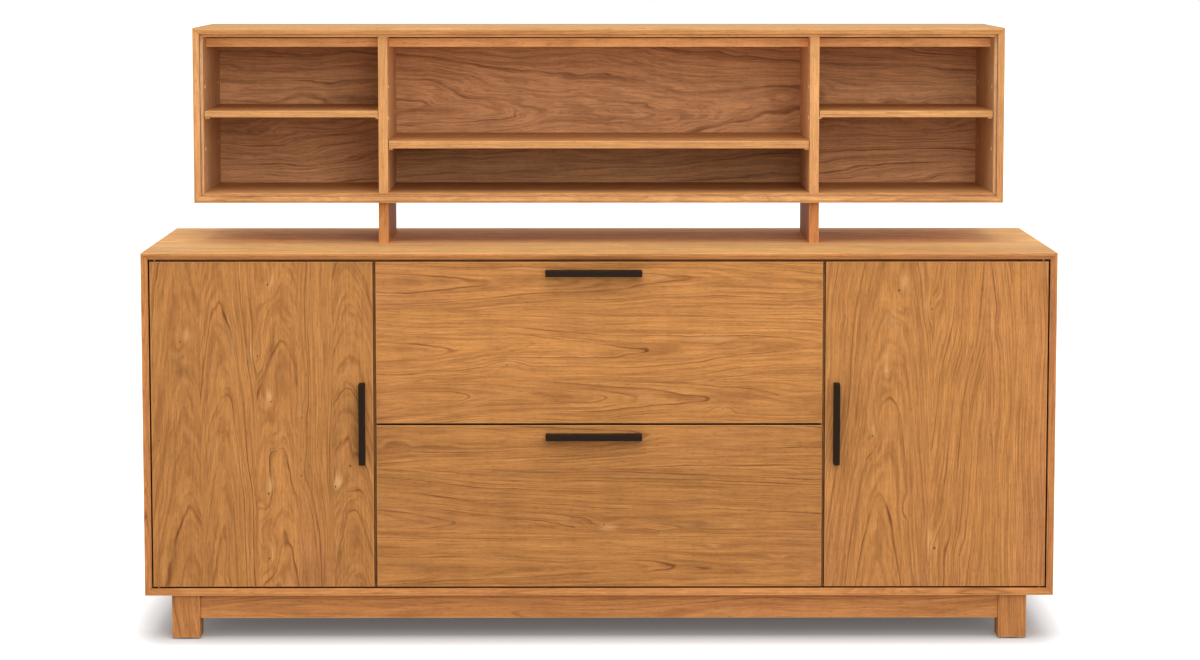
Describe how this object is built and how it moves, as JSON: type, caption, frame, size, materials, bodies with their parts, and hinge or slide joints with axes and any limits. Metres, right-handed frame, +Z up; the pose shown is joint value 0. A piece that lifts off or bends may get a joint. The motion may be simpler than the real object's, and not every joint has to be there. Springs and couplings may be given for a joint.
{
  "type": "office credenza",
  "caption": "Wide wooden office credenza: a case with doors, file drawers and black bar pulls on a leg base, and an open hutch with shelves raised above it on posts.",
  "frame": {"origin": "on the floor, under the middle of the outline with its pulls", "axes": "+X to the right as seen from the front, +Y to the back, +Z up"},
  "size_m": [1.829, 0.632, 1.2265],
  "materials": {
    "case_wood": "satin oiled cherry",
    "hutch_wood": "satin oiled cherry",
    "door_wood": "satin oiled cherry, upright grain",
    "drawer_wood": "satin oiled cherry, level grain",
    "base_wood": "satin oiled cherry",
    "back_wood": "satin oiled cherry veneer",
    "box_wood": "clear matt lacquered maple",
    "pull_wood": "satin ebonised wood",
    "brass": "satin",
    "steel": "zinc plated, satin",
    "glide_plastic": "matt",
    "catch_plastic": "matt"
  },
  "bodies": {
    "carcass": {"base_angles": "steel", "base_legs_front": "base_wood", "base_legs_rear": "base_wood", "base_rail_front": "base_wood", "base_rail_rear": "base_wood", "base_side_rails": "base_wood", "cabinet_shelf_left": "hutch_wood", "cabinet_shelf_right": "hutch_wood", "case_back": "back_wood", "case_bottom": "case_wood", "case_divider_left": "case_wood", "case_divider_right": "case_wood", "case_side_left": "case_wood", "case_side_right": "case_wood", "case_top": "case_wood", "door_catches": "catch_plastic", "foot_glides": "glide_plastic", "hinge_case_leaves": "brass", "hutch_back": "back_wood", "hutch_bottom": "hutch_wood", "hutch_divider_left": "hutch_wood", "hutch_divider_right": "hutch_wood", "hutch_pin_sleeves": "brass", "hutch_post_left": "hutch_wood", "hutch_post_right": "hutch_wood", "hutch_post_tenons": "hutch_wood", "hutch_shelf_center": "hutch_wood", "hutch_shelf_left": "hutch_wood", "hutch_shelf_right": "hutch_wood", "hutch_side_left": "hutch_wood", "hutch_side_right": "hutch_wood", "hutch_top": "hutch_wood", "hutch_top_rails": "hutch_wood", "shelf_pins": "brass", "slide_case_members": "steel"},
    "door_left": {"door_left_hinge_leaves": "brass", "door_left_panel": "door_wood", "door_left_pull": "pull_wood", "door_left_strike": "steel"},
    "door_right": {"door_right_hinge_leaves": "brass", "door_right_panel": "door_wood", "door_right_pull": "pull_wood", "door_right_strike": "steel"},
    "drawer_upper": {"drawer_upper_box_bottom": "box_wood", "drawer_upper_box_ends": "box_wood", "drawer_upper_box_sides": "box_wood", "drawer_upper_file_rails": "steel", "drawer_upper_front": "drawer_wood", "drawer_upper_pull": "pull_wood", "drawer_upper_slides": "steel"},
    "drawer_lower": {"drawer_lower_box_bottom": "box_wood", "drawer_lower_box_ends": "box_wood", "drawer_lower_box_sides": "box_wood", "drawer_lower_file_rails": "steel", "drawer_lower_front": "drawer_wood", "drawer_lower_pull": "pull_wood", "drawer_lower_slides": "steel"},
    "carriage_upper": {"slide_upper_carriages": "steel"},
    "carriage_lower": {"slide_lower_carriages": "steel"}
  },
  "joints": [
    {"name": "door_left_hinge", "type": "hinge", "parent": "carcass", "child": "door_left", "pos_m": [-0.888, -0.279, 0.43725], "axis": [0, 0, -1], "range_deg": [0, 105]},
    {"name": "door_right_hinge", "type": "hinge", "parent": "carcass", "child": "door_right", "pos_m": [0.888, -0.279, 0.43725], "axis": [0, 0, 1], "range_deg": [0, 105]},
    {"name": "drawer_upper_slide", "type": "slide", "parent": "carcass", "child": "drawer_upper", "axis": [0, -1, 0], "range_m": [0, 0.48]},
    {"name": "carriage_upper_slide", "type": "slide", "parent": "carcass", "child": "carriage_upper", "axis": [0, -1, 0], "range_m": [0, 0.24]},
    {"name": "drawer_lower_slide", "type": "slide", "parent": "carcass", "child": "drawer_lower", "axis": [0, -1, 0], "range_m": [0, 0.48]},
    {"name": "carriage_lower_slide", "type": "slide", "parent": "carcass", "child": "carriage_lower", "axis": [0, -1, 0], "range_m": [0, 0.24]}
  ],
  "couplings": [
    {"joint": "carriage_upper_slide", "follows": "drawer_upper_slide", "ratio": 0.5},
    {"joint": "carriage_lower_slide", "follows": "drawer_lower_slide", "ratio": 0.5}
  ]
}
